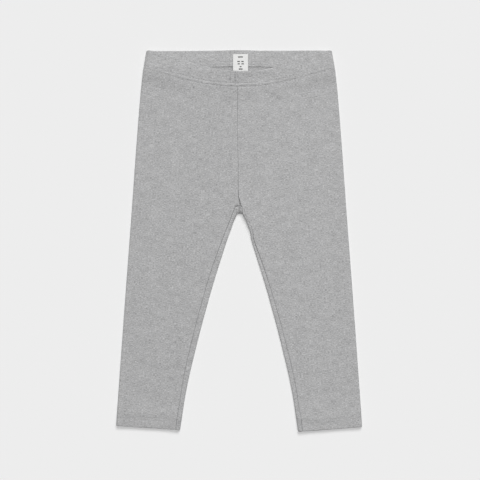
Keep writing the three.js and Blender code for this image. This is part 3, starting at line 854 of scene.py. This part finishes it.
def ribbon():
    downs = mix(LABEL["top"], LABEL["foot"], np.linspace(0, 1, 60))
    shares = np.concatenate([NEAR_CUT, np.linspace(0.07, 0.93, 36), 1 - NEAR_CUT[::-1]])
    x, down = np.meshgrid(mix(LABEL["left"], LABEL["right"], shares), downs)
    z = CASING + JOIN_RISE + SEAM - LABEL["drop"] * ease((down - BAND_FOOT) / LABEL["drop_length"])
    wave = 0.08 * soft_noise(x / 9, down / 7, 51) + 0.10 * ((x - LABEL_MIDDLE) / LABEL_HALF) ** 2
    outer, inner = place(1, x, down, z + LABEL["thick"] + wave), place(1, x, down, z + 0.45)
    edge = np.minimum(np.minimum(x - LABEL["left"], LABEL["right"] - x),
                      np.minimum(down - LABEL["top"], LABEL["foot"] - down))
    outer, inner = pinch(outer, inner, rounded(edge, 0.3, 0.8))
    uv = np.stack([x, LENGTH / 2 - down], -1)
    return wall("Label_ribbon", outer, inner, uv, np.ones(x.shape, bool))


label = ribbon()

# %% [markdown]
# ## Stitches
# Machine stitching is one small shape repeated along a line, so Geometry Nodes make it. The line is a row
# of points laid on the cloth. The tree turns it into a curve, sets points along it at the stitch length,
# puts one slim thread loop at each and turns it along the line. The loops become real mesh at the end,
# because an export drops instances. Sizes are named inputs of the tree, so a longer stitch is one number.
# The bars on the label are set out by a second tree later, so both start from the same empty one.


# %% A tree that sews along a line
def new_tree(name, takes, sizes, gives):
    """An empty tree that takes a geometry and sizes and gives a geometry, with its two outer nodes."""
    tree = bpy.data.node_groups.new(name, "GeometryNodeTree")
    tree.interface.new_socket(takes, in_out="INPUT", socket_type="NodeSocketGeometry")
    for size in sizes:
        tree.interface.new_socket(size, in_out="INPUT", socket_type="NodeSocketFloat")
    tree.interface.new_socket(gives, in_out="OUTPUT", socket_type="NodeSocketGeometry")
    return tree, tree.nodes.new("NodeGroupInput"), tree.nodes.new("NodeGroupOutput")


def stitch_tree(material):
    sizes = ("Stitch spacing", "Stitch length", "Thread thickness")
    tree, given, result = new_tree("Sew along a line", "Line", sizes, "Stitches")
    add, link = tree.nodes.new, tree.links.new
    curve, spread = add("GeometryNodeMeshToCurve"), add("GeometryNodeResampleCurve")
    spread.mode = "LENGTH"
    loop, size = add("GeometryNodeMeshUVSphere"), add("ShaderNodeCombineXYZ")
    shape = add("GeometryNodeTransform")
    loop.inputs["Segments"].default_value, loop.inputs["Rings"].default_value = 6, 5
    loop.inputs["Radius"].default_value = 0.5
    tangent, turn = add("GeometryNodeInputTangent"), add("FunctionNodeAlignRotationToVector")
    turn.axis = "X"
    sew, real = add("GeometryNodeInstanceOnPoints"), add("GeometryNodeRealizeInstances")
    smooth, finish = add("GeometryNodeSetShadeSmooth"), add("GeometryNodeSetMaterial")
    finish.inputs["Material"].default_value = material
    link(given.outputs["Line"], curve.inputs["Mesh"])
    link(curve.outputs["Curve"], spread.inputs["Curve"])
    link(given.outputs["Stitch spacing"], spread.inputs["Length"])
    link(given.outputs["Stitch length"], size.inputs["X"])
    link(given.outputs["Thread thickness"], size.inputs["Y"])
    link(given.outputs["Thread thickness"], size.inputs["Z"])
    link(loop.outputs["Mesh"], shape.inputs["Geometry"])
    link(size.outputs["Vector"], shape.inputs["Scale"])
    link(tangent.outputs["Tangent"], turn.inputs["Vector"])
    link(spread.outputs["Curve"], sew.inputs["Points"])
    link(shape.outputs["Geometry"], sew.inputs["Instance"])
    link(turn.outputs["Rotation"], sew.inputs["Rotation"])
    link(sew.outputs["Instances"], real.inputs["Geometry"])
    link(real.outputs["Geometry"], smooth.inputs["Geometry"])
    link(smooth.outputs["Geometry"], finish.inputs["Geometry"])
    link(finish.outputs["Geometry"], result.inputs["Stitches"])
    return tree


def run_tree(piece, tree, sizes):
    """Give a piece the tree with its sizes in millimetres, and keep the result as a plain mesh."""
    modifier = piece.modifiers.new("Nodes", "NODES")
    modifier.node_group = tree
    for socket in tree.interface.items_tree:
        if socket.name in sizes:
            modifier[socket.identifier] = sizes[socket.name] * MM
    evaluated = piece.evaluated_get(bpy.context.evaluated_depsgraph_get())
    mesh = bpy.data.meshes.new_from_object(evaluated)
    piece.modifiers.clear()
    piece.data = mesh
    print(f"{piece.name}: {sum(len(p.vertices) - 2 for p in mesh.polygons):,} triangles")
    return piece


def sew(name, lines, spacing, length, thickness):
    """Stitches along lines of points in millimetres."""
    points, edges = [], []
    for line in lines:
        start = len(points)
        points += (np.asarray(line) * MM).tolist()
        edges += [(start + k, start + k + 1) for k in range(len(line) - 1)]
    mesh = bpy.data.meshes.new(name)
    mesh.from_pydata(points, edges, [])
    sizes = {"Stitch spacing": spacing, "Stitch length": length, "Thread thickness": thickness}
    return run_tree(in_scene(name, mesh), sewing, sizes)


print("the tree that sews is ready to be built")

# %% [markdown]
# ## Materials
# Heather jersey is knitted from a yarn of mixed light and dark fibres, so its grey is made of short flecks
# that lie along the courses. Two stretched noises give flecks of two sizes, and a third, broad one gives the
# clouds that a melange yarn always shows. The knit is a bump: columns of small Vs, 0.75 mm wide. All of it
# reads the cloth's own UV map in metres, so it turns with the cloth at the folds. A little sheen stands for
# the fibre ends that stick out of brushed cotton.


# %% Helpers for node materials
def new_material(name, roughness, sheen, specular):
    material = bpy.data.materials.new(name)
    material.use_nodes = True
    shader = material.node_tree.nodes["Principled BSDF"]
    shader.inputs["Roughness"].default_value = roughness
    shader.inputs["Sheen Weight"].default_value = sheen
    shader.inputs["Sheen Roughness"].default_value = 0.5
    shader.inputs["Specular IOR Level"].default_value = specular
    return material, shader


def plug(material, into, sockets):
    """Join each named or numbered input of a node to a socket, or set it to a value."""
    for key, value in sockets.items():
        if isinstance(value, bpy.types.NodeSocket):
            material.node_tree.links.new(value, into.inputs[key])
        else:
            into.inputs[key].default_value = value


def node(material, kind, **sockets):
    new = material.node_tree.nodes.new(kind)
    plug(material, new, sockets)
    return new


def calc(material, operation, *values):
    new = node(material, "ShaderNodeMath")
    new.operation = operation
    plug(material, new, dict(enumerate(values)))
    return new.outputs[0]


def cloth_map(material):
    place = node(material, "ShaderNodeUVMap")
    place.uv_map = "cloth"
    return place.outputs["UV"]


def fleck(material, where, width, height, detail=2.0, shift=0.0):
    """Noise with features about that wide and high, in millimetres of cloth."""
    stretch = node(material, "ShaderNodeMapping", Vector=where, Location=(shift, shift, 0),
                   Scale=(1 / (width * MM), 1 / (height * MM), 1))
    noise = node(material, "ShaderNodeTexNoise", Vector=stretch.outputs["Vector"], Scale=1.0, Detail=detail)
    return noise.outputs["Fac"]


def bump(material, height, distance, strength, **below):
    return node(material, "ShaderNodeBump", Height=height, Distance=distance * MM, Strength=strength,
                **below).outputs["Normal"]


def colours(material, factor, dark, light, low, high):
    ramp = node(material, "ShaderNodeValToRGB", Fac=factor)
    ramp.color_ramp.elements[0].position, ramp.color_ramp.elements[1].position = low, high
    ramp.color_ramp.elements[0].color = (*dark, 1)
    ramp.color_ramp.elements[1].color = (*light, 1)
    return ramp.outputs["Color"]


print("a finish is a shader with its own colour and its own small relief")

# %% The heather jersey
WALE, COURSE = 0.75, 0.62  # width of a column of stitches, and height of a row
FLECKS = [  # width, height, detail, shift, weight: long flecks, short flecks, clouds
    (7.0, 0.52, 2.0, 0.0, 0.36),
    (2.0, 0.56, 1.0, 7.3, 0.53),
    (18, 7, 2.5, 3.1, 0.11),
]
PAINTED_LIGHT_FADES = {  # painted light and shade: from, to in metres, and how much is added there
    "Y": (-0.22, 0.12, -0.022, 0.0),  # painted shade: the grey is a touch darker towards the hems, where the light falls off
    "X": (-0.4, 0.4, 0.0, 0.009),  # painted light: and a touch lighter on the right leg, which the light reaches from the right
}
DARK_YARN, LIGHT_YARN = (0.080, 0.080, 0.081), (0.780, 0.780, 0.784)


def knit_height(material, where):
    """Height of plain knitting, from 0 between the columns to 1 on the stitches."""
    parts = node(material, "ShaderNodeSeparateXYZ", Vector=where)
    column = calc(material, "FRACT", calc(material, "DIVIDE", parts.outputs["X"], WALE * MM))
    off_middle = calc(material, "ABSOLUTE", calc(material, "SUBTRACT", column, 0.5))
    side = calc(material, "MULTIPLY", off_middle, 2.0)
    row = calc(material, "DIVIDE", parts.outputs["Y"], COURSE * MM)
    leg_of_v = calc(material, "FRACT", calc(material, "ADD", row, calc(material, "MULTIPLY", side, 0.6)))
    loop = calc(material, "SINE", calc(material, "MULTIPLY", leg_of_v, np.pi))
    crown = calc(material, "SUBTRACT", 1.0, calc(material, "POWER", side, 3.0))
    return calc(material, "MULTIPLY", crown, calc(material, "ADD", calc(material, "MULTIPLY", loop, 0.6), 0.4))


def heather(name, tone, pucker):
    """The melange grey. tone shifts the whole, and pucker adds soft waves of that height in millimetres."""
    material, shader = new_material(name, 0.92, 0.12, 0.2)
    where = cloth_map(material)
    mixed = 0.0
    for width, height, detail, shift, weight in FLECKS:
        noise = fleck(material, where, width, height, detail, shift)
        mixed = calc(material, "MULTIPLY_ADD", noise, weight, mixed)
    parts = node(material, "ShaderNodeSeparateXYZ", Vector=where)
    # painted light and shade: the grey is darkened towards the hems and lightened on the right leg
    for axis, limits in PAINTED_LIGHT_FADES.items():
        fade = node(material, "ShaderNodeMapRange", Value=parts.outputs[axis])
        plug(material, fade, dict(zip(("From Min", "From Max", "To Min", "To Max"), limits)))
        mixed = calc(material, "ADD", mixed, fade.outputs["Result"])
    dark, light = (tuple(part * tone for part in yarn) for yarn in (DARK_YARN, LIGHT_YARN))
    fuzz = bump(material, fleck(material, where, 1.1, 0.7, shift=11.0), 0.16, 0.5)
    waves = bump(material, fleck(material, where, 4.5, 2.6, 1.0, 19.0), pucker, 1.0, Normal=fuzz)
    knit = bump(material, knit_height(material, where), 0.11, 0.55, Normal=waves)
    plug(material, shader, {"Base Color": colours(material, mixed, dark, light, 0.2, 0.8), "Normal": knit})
    return material


jersey = heather("Heather jersey", 1.0, 0.16)
# painted light: the casing's copy of the jersey is 2% lighter, to offset the shade of its puckers and grooves
casing_jersey_painted_lighter = heather("Heather jersey on elastic", 1.02, 0.36)
print("jersey mixed from flecks of two sizes, clouds and a knit", WALE, "by", COURSE, "mm")

# %% [markdown]
# ## Thread, ribbon and print
# The sewing thread is a twisted polyester in the same grey, a little smoother than the cloth. The ribbon is
# woven: fine threads across and along, with a slight gloss. The real label carries print. Here that place
# has plain dark bars only, which say nothing.

# %% Threads and ink
MOTTLE = {"ShaderNodeTexWave": (0.2, 0.8), "ShaderNodeTexNoise": (0.3, 0.7)}  # from dark to light


def mottled(name, finish, texture, scale, dark, light, **more):
    """A finish mottled between two greys by a fine texture in the piece's own place."""
    material, shader = new_material(name, *finish)
    own_place = node(material, "ShaderNodeTexCoord").outputs["Object"]
    fine = node(material, texture, Vector=own_place, Scale=scale, **more)
    low, high = MOTTLE[texture]
    colour = colours(material, fine.outputs["Fac"], dark, light, low, high)
    plug(material, shader, {"Base Color": colour})
    return material, shader, fine


# roughness, sheen and specular level of each
THREAD_FINISH, INK_FINISH, SATIN_FINISH = (0.6, 0.2, 0.35), (0.7, 0.0, 0.3), (0.45, 0.1, 0.5)
thread, thread_shader, twist = mottled("Grey thread", THREAD_FINISH, "ShaderNodeTexWave", 900.0,
                                       (0.34, 0.34, 0.343), (0.47, 0.47, 0.474), Distortion=1.5)
twist.bands_direction = "DIAGONAL"
plug(thread, thread_shader, {"Normal": bump(thread, twist.outputs["Fac"], 0.05, 0.6)})
pale_thread, _, _ = mottled("Pale overlock thread", THREAD_FINISH, "ShaderNodeTexNoise", 700.0,
                            (0.58, 0.58, 0.585), (0.78, 0.78, 0.785))
ink, _, _ = mottled("Dark grey ink", INK_FINISH, "ShaderNodeTexNoise", 2500.0,
                    (0.07, 0.07, 0.072), (0.16, 0.16, 0.162))
print("two threads and an ink")

# %% The ribbon's weave
WARP, WEFT = 0.32, 0.42  # width of the threads along and across it
satin, satin_shader = new_material("Woven label ribbon", *SATIN_FINISH)
satin_map = cloth_map(satin)
satin_parts = node(satin, "ShaderNodeSeparateXYZ", Vector=satin_map)
warp, weft = (calc(satin, "SINE", calc(satin, "MULTIPLY", satin_parts.outputs[axis], 2 * np.pi / (width * MM)))
              for axis, width in (("X", WARP), ("Y", WEFT)))
weave = calc(satin, "MULTIPLY_ADD", calc(satin, "MULTIPLY", warp, weft), 0.5, 0.5)
satin_tone = calc(satin, "MULTIPLY_ADD", fleck(satin, satin_map, 3.0, 1.2, shift=5.0), 0.7,
                  calc(satin, "MULTIPLY", weave, 0.3))
plug(satin, satin_shader, {
    "Base Color": colours(satin, satin_tone, (0.67, 0.67, 0.662), (0.83, 0.83, 0.822), 0.25, 0.75),
    "Normal": bump(satin, weave, 0.04, 0.7),
})

for piece, finish in ((leg_left, jersey), (leg_right, jersey), (waistband, casing_jersey_painted_lighter), (label, satin)):
    piece.data.materials.append(finish)
print("six finishes in all")

# %% [markdown]
# ## Where the stitching runs
# The casing is held down by two rows, about 3 mm apart. On the outside they are plain stitches, and on the
# inside of the back the looper thread zigzags between them. Each hem has two rows as well. Rows on a panel
# find its height with a ray cast onto the finished mesh, and the casing's rows use its own functions.

# %% Lines for the casing's stitches
THREAD = 0.34
LOWER_STITCH, ZIGZAG_STEP = 0.75, 1.5
ON_CLOTH = 0.02  # a thread's middle lies this far above the cloth
sewing = stitch_tree(thread)


def front_band_line(high):
    line = []
    for share in np.linspace(-0.995, 0.995, 260):
        foot_x, top_x = share * FOOT_HALF, share * TOP_HALF
        foot, top = float(front_foot(foot_x)), float(front_top(top_x))
        up = high / (foot - top)
        x, down = mix(foot_x, top_x, up), mix(foot, top, up)
        relief = float(front_relief(x, high, foot - top) * fade_to_fold(share))
        rise = float(puff(mix(FOOT_HALF, TOP_HALF, up) - abs(x))) + relief
        bend = float(rounded(high, *FOOT_ROUND) * draw(x)) * CASING / 2
        z = float(band_underside(x, down)) + CASING + rise - bend + ON_CLOTH
        line.append((x, LENGTH / 2 - down, z))
    return line


def back_band_point(x, high):
    height = float(back_foot(x)) - BACK_EDGE_DROP
    z = CASING + JOIN_RISE * float(on_join(x)) + float(inside_relief(x, high, height))
    return (x, LENGTH / 2 - float(back_foot(x)) + high, z + ON_CLOTH)


front_lines = [front_band_line(high) for high in (CASING_STITCH, LOWER_STITCH)]
casing_rows = sew("Casing_stitches", front_lines, spacing=2.6, length=2.1, thickness=THREAD)
reach_of_back = np.linspace(-FOOT_HALF + 3, FOOT_HALF - 3, 300)
zigzag = [back_band_point(x, LOOPER_ROWS[k % 2]) for k, x in enumerate(np.arange(-100, 100, ZIGZAG_STEP))]
looper_lines = [[back_band_point(x, high) for x in reach_of_back] for high in LOOPER_ROWS] + [zigzag]
looper = sew("Casing_looper_thread", looper_lines, spacing=1.3, length=1.35, thickness=0.26)


# %% Lines on the legs
FAR_ABOVE = 50  # where a ray starts


def on_piece(piece, x, down, from_above=True):
    """The height of a piece's outside at a place, in millimetres."""
    start = (x * MM, (LENGTH / 2 - lifted(x, down)) * MM, (FAR_ABOVE if from_above else -FAR_ABOVE) * MM)
    found, spot, _, _ = piece.ray_cast(start, (0, 0, -1 if from_above else 1))
    return spot[2] / MM if found else None


def hem_line(piece, side, above, from_above):
    word, line = ("left" if side < 0 else "right"), []
    inner_out, inner_down, _ = inner_fold_at(word, LEG_BELOW - above)
    outer_down = mix(CROTCH_OUTER, HEM_OUTER, 1 - above / LEG_BELOW)
    for t in np.linspace(0.045, 0.965, 60):
        out, down = mix(inner_out, outer_edge(outer_down), t), mix(inner_down, outer_down, t)
        z = on_piece(piece, side * out, down, from_above)
        if z is not None:
            z += 0.03 if from_above else 0.2
            line.append((side * out, LENGTH / 2 - lifted(side * out, down), z))
    return line


FRONT_HEIGHT = 3.3  # of the front beside the inseam


def inseam_line(piece, side, first, last, inside):
    """A line on the leg, a little way from the inseam towards the inner fold."""
    word, line = ("left" if side < 0 else "right"), []
    for below in np.linspace(first, last, 60):
        out, down, away = inner_fold_at(word, below)
        wide = float(inseam_width[word](below)) + fold_reach(FRONT_HEIGHT) - inside
        angle = strip_angle(word, below, away)
        x, down = side * (out + np.sin(angle) * wide), down - np.cos(angle) * wide
        z = on_piece(piece, x, down)
        if z is not None:
            line.append((x, LENGTH / 2 - down, z + 0.05))
    return line


def hem_stitches(name, piece, side):
    rows = [hem_line(piece, side, above, face) for above in HEM_ROWS for face in (True, False)]
    return sew(name, rows, spacing=2.6, length=2.1, thickness=THREAD)


hem_left = hem_stitches("Hem_stitches_left", leg_left, -1)
hem_right = hem_stitches("Hem_stitches_right", leg_right, 1)
sewing.nodes["Set Material"].inputs["Material"].default_value = pale_thread
overlock_line = inseam_line(leg_left, -1, first=4, last=46, inside=1.7)
overlock = sew("Inseam_overlock_thread", [overlock_line], spacing=2.3, length=1.5, thickness=0.75)

# %% [markdown]
# ## Plain bars on the label
# Each bar is a thin raised block of ink. Geometry Nodes put one at each point and give it the length and
# height that the point carries, so the layout is a short table.

# %% Printed bars
BARS = [  # x of the middle, down, length, height
    (1.5, 8.1, 5.6, 1.3),
    (-0.6, 13.3, 3.0, 1.2), (3.9, 13.3, 2.8, 1.2),
    (-0.4, 16.0, 2.6, 1.2), (4.1, 16.0, 2.8, 1.2),
    (1.7, 19.2, 2.2, 1.1),
    (1.8, 22.0, 4.4, 1.4),
]


def bar_tree():
    tree, given, result = new_tree("Bars at points", "Points", ("Ink thickness",), "Bars")
    add, link = tree.nodes.new, tree.links.new
    block, put = add("GeometryNodeMeshCube"), add("GeometryNodeInstanceOnPoints")
    real, finish = add("GeometryNodeRealizeInstances"), add("GeometryNodeSetMaterial")
    block.inputs["Size"].default_value = (1, 1, 1)
    block.inputs["Vertices X"].default_value, block.inputs["Vertices Y"].default_value = 4, 3
    size = add("ShaderNodeCombineXYZ")
    length, height = (add("GeometryNodeInputNamedAttribute") for _ in range(2))
    length.inputs["Name"].default_value, height.inputs["Name"].default_value = "bar_length", "bar_height"
    finish.inputs["Material"].default_value = ink
    link(given.outputs["Points"], put.inputs["Points"])
    link(block.outputs["Mesh"], put.inputs["Instance"])
    link(length.outputs["Attribute"], size.inputs["X"])
    link(height.outputs["Attribute"], size.inputs["Y"])
    link(given.outputs["Ink thickness"], size.inputs["Z"])
    link(size.outputs["Vector"], put.inputs["Scale"])
    link(put.outputs["Instances"], real.inputs["Geometry"])
    link(real.outputs["Geometry"], finish.inputs["Geometry"])
    link(finish.outputs["Geometry"], result.inputs["Bars"])
    return tree


bar_mesh = bpy.data.meshes.new("Label_bars")
bar_places = [(x * MM, (LENGTH / 2 - down) * MM, on_piece(label, x, down) * MM) for x, down, _, _ in BARS]
bar_mesh.from_pydata(bar_places, [], [])
for name, column in (("bar_length", 2), ("bar_height", 3)):
    values = bar_mesh.attributes.new(name, "FLOAT", "POINT")
    values.data.foreach_set("value", [row[column] * MM for row in BARS])
label_bars = run_tree(in_scene("Label_bars", bar_mesh), bar_tree(), {"Ink thickness": 0.36})

# %% [markdown]
# ## Each piece in place of its solid
# Every dressed piece hides the solid that it stands for and lies in the same body as all the cloth.

# %% Pieces and solids
for piece, solid, slot in (
    (leg_left, "leg_left", "heather_jersey"),
    (leg_right, "leg_right", "heather_jersey"),
    (waistband, "waistband", "heather_jersey"),
    (label, "size_label", "label_satin"),
):
    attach(piece, "root")
    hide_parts(solid)
for piece in (casing_rows, looper, hem_left, hem_right, overlock, label_bars):
    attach(piece, "root")

# %% [markdown]
# ## Floor, light and camera
# The picture is taken from straight above on a plain pale floor. Most of the light falls straight down, so
# the outer edges throw no shadow. A second light slants in from beyond the waist, and gives the hems and
# the crotch their short soft shadow and the cloth its relief. A weak even sky fills both. The three shares
# add up to one, so the floor keeps its tone whatever their mix.

# %% Floor
FLOOR = 4  # metres from the middle to each side
floor_mesh = bpy.data.meshes.new("Floor")
floor_mesh.from_pydata([(x * FLOOR, y * FLOOR, 0) for x, y in ((-1, -1), (1, -1), (1, 1), (-1, 1))], [],
                       [(0, 1, 2, 3)])
floor = in_scene("Floor", floor_mesh)
paper, paper_shader = new_material("Pale paper floor", 1.0, 0.0, 0.0)
paper_shader.inputs["Base Color"].default_value = (0.86, 0.86, 0.86, 1)
floor_mesh.materials.append(paper)
print("floor:", 2 * FLOOR, "m wide")

# %% Light
WHOLE_LIGHT, SKY_SHARE = 0.985, 0.16
SUNS = [  # name, share, tilt towards the waist, tilt to the right, width of the source, in degrees
    ("Overhead light", 0.46, 0, 0, 24),
    ("Slanting light", 0.38, 40, 11, 30),
]
world = bpy.data.worlds.new("Even sky")
bpy.context.scene.world = world
world.use_nodes = True
world.node_tree.nodes["Background"].inputs["Color"].default_value = (1, 1, 1, 1)
world.node_tree.nodes["Background"].inputs["Strength"].default_value = SKY_SHARE * WHOLE_LIGHT
for name, share, tilt, sideways, width in SUNS:
    light = bpy.data.lights.new(name, "SUN")
    light.angle = np.radians(width)
    slant = np.cos(np.radians(tilt)) * np.cos(np.radians(sideways))
    light.energy = share * WHOLE_LIGHT * np.pi / slant
    in_scene(name, light).rotation_euler = (-np.radians(tilt), np.radians(sideways), 0)
print("light:", SKY_SHARE + sum(row[1] for row in SUNS), "in all")

# %% Camera
FRAME_WIDTH, CAMERA_HEIGHT = 552 * MM, 2.1
FRONT_LEVEL = 3 * MM  # the height of the front, where the frame is measured
MIDDLE_OF_FRAME = (1.0 * MM, 1.5 * MM)
SENSOR = 36
camera_data = bpy.data.cameras.new("Camera")
camera_data.sensor_width = SENSOR
camera_data.lens = SENSOR * (CAMERA_HEIGHT - FRONT_LEVEL) / FRAME_WIDTH
camera = in_scene("Camera", camera_data)
camera.location = (*MIDDLE_OF_FRAME, CAMERA_HEIGHT)
bpy.context.scene.camera = camera
bpy.context.scene.view_settings.view_transform = "Standard"
print("lens:", round(camera_data.lens, 1), "mm")
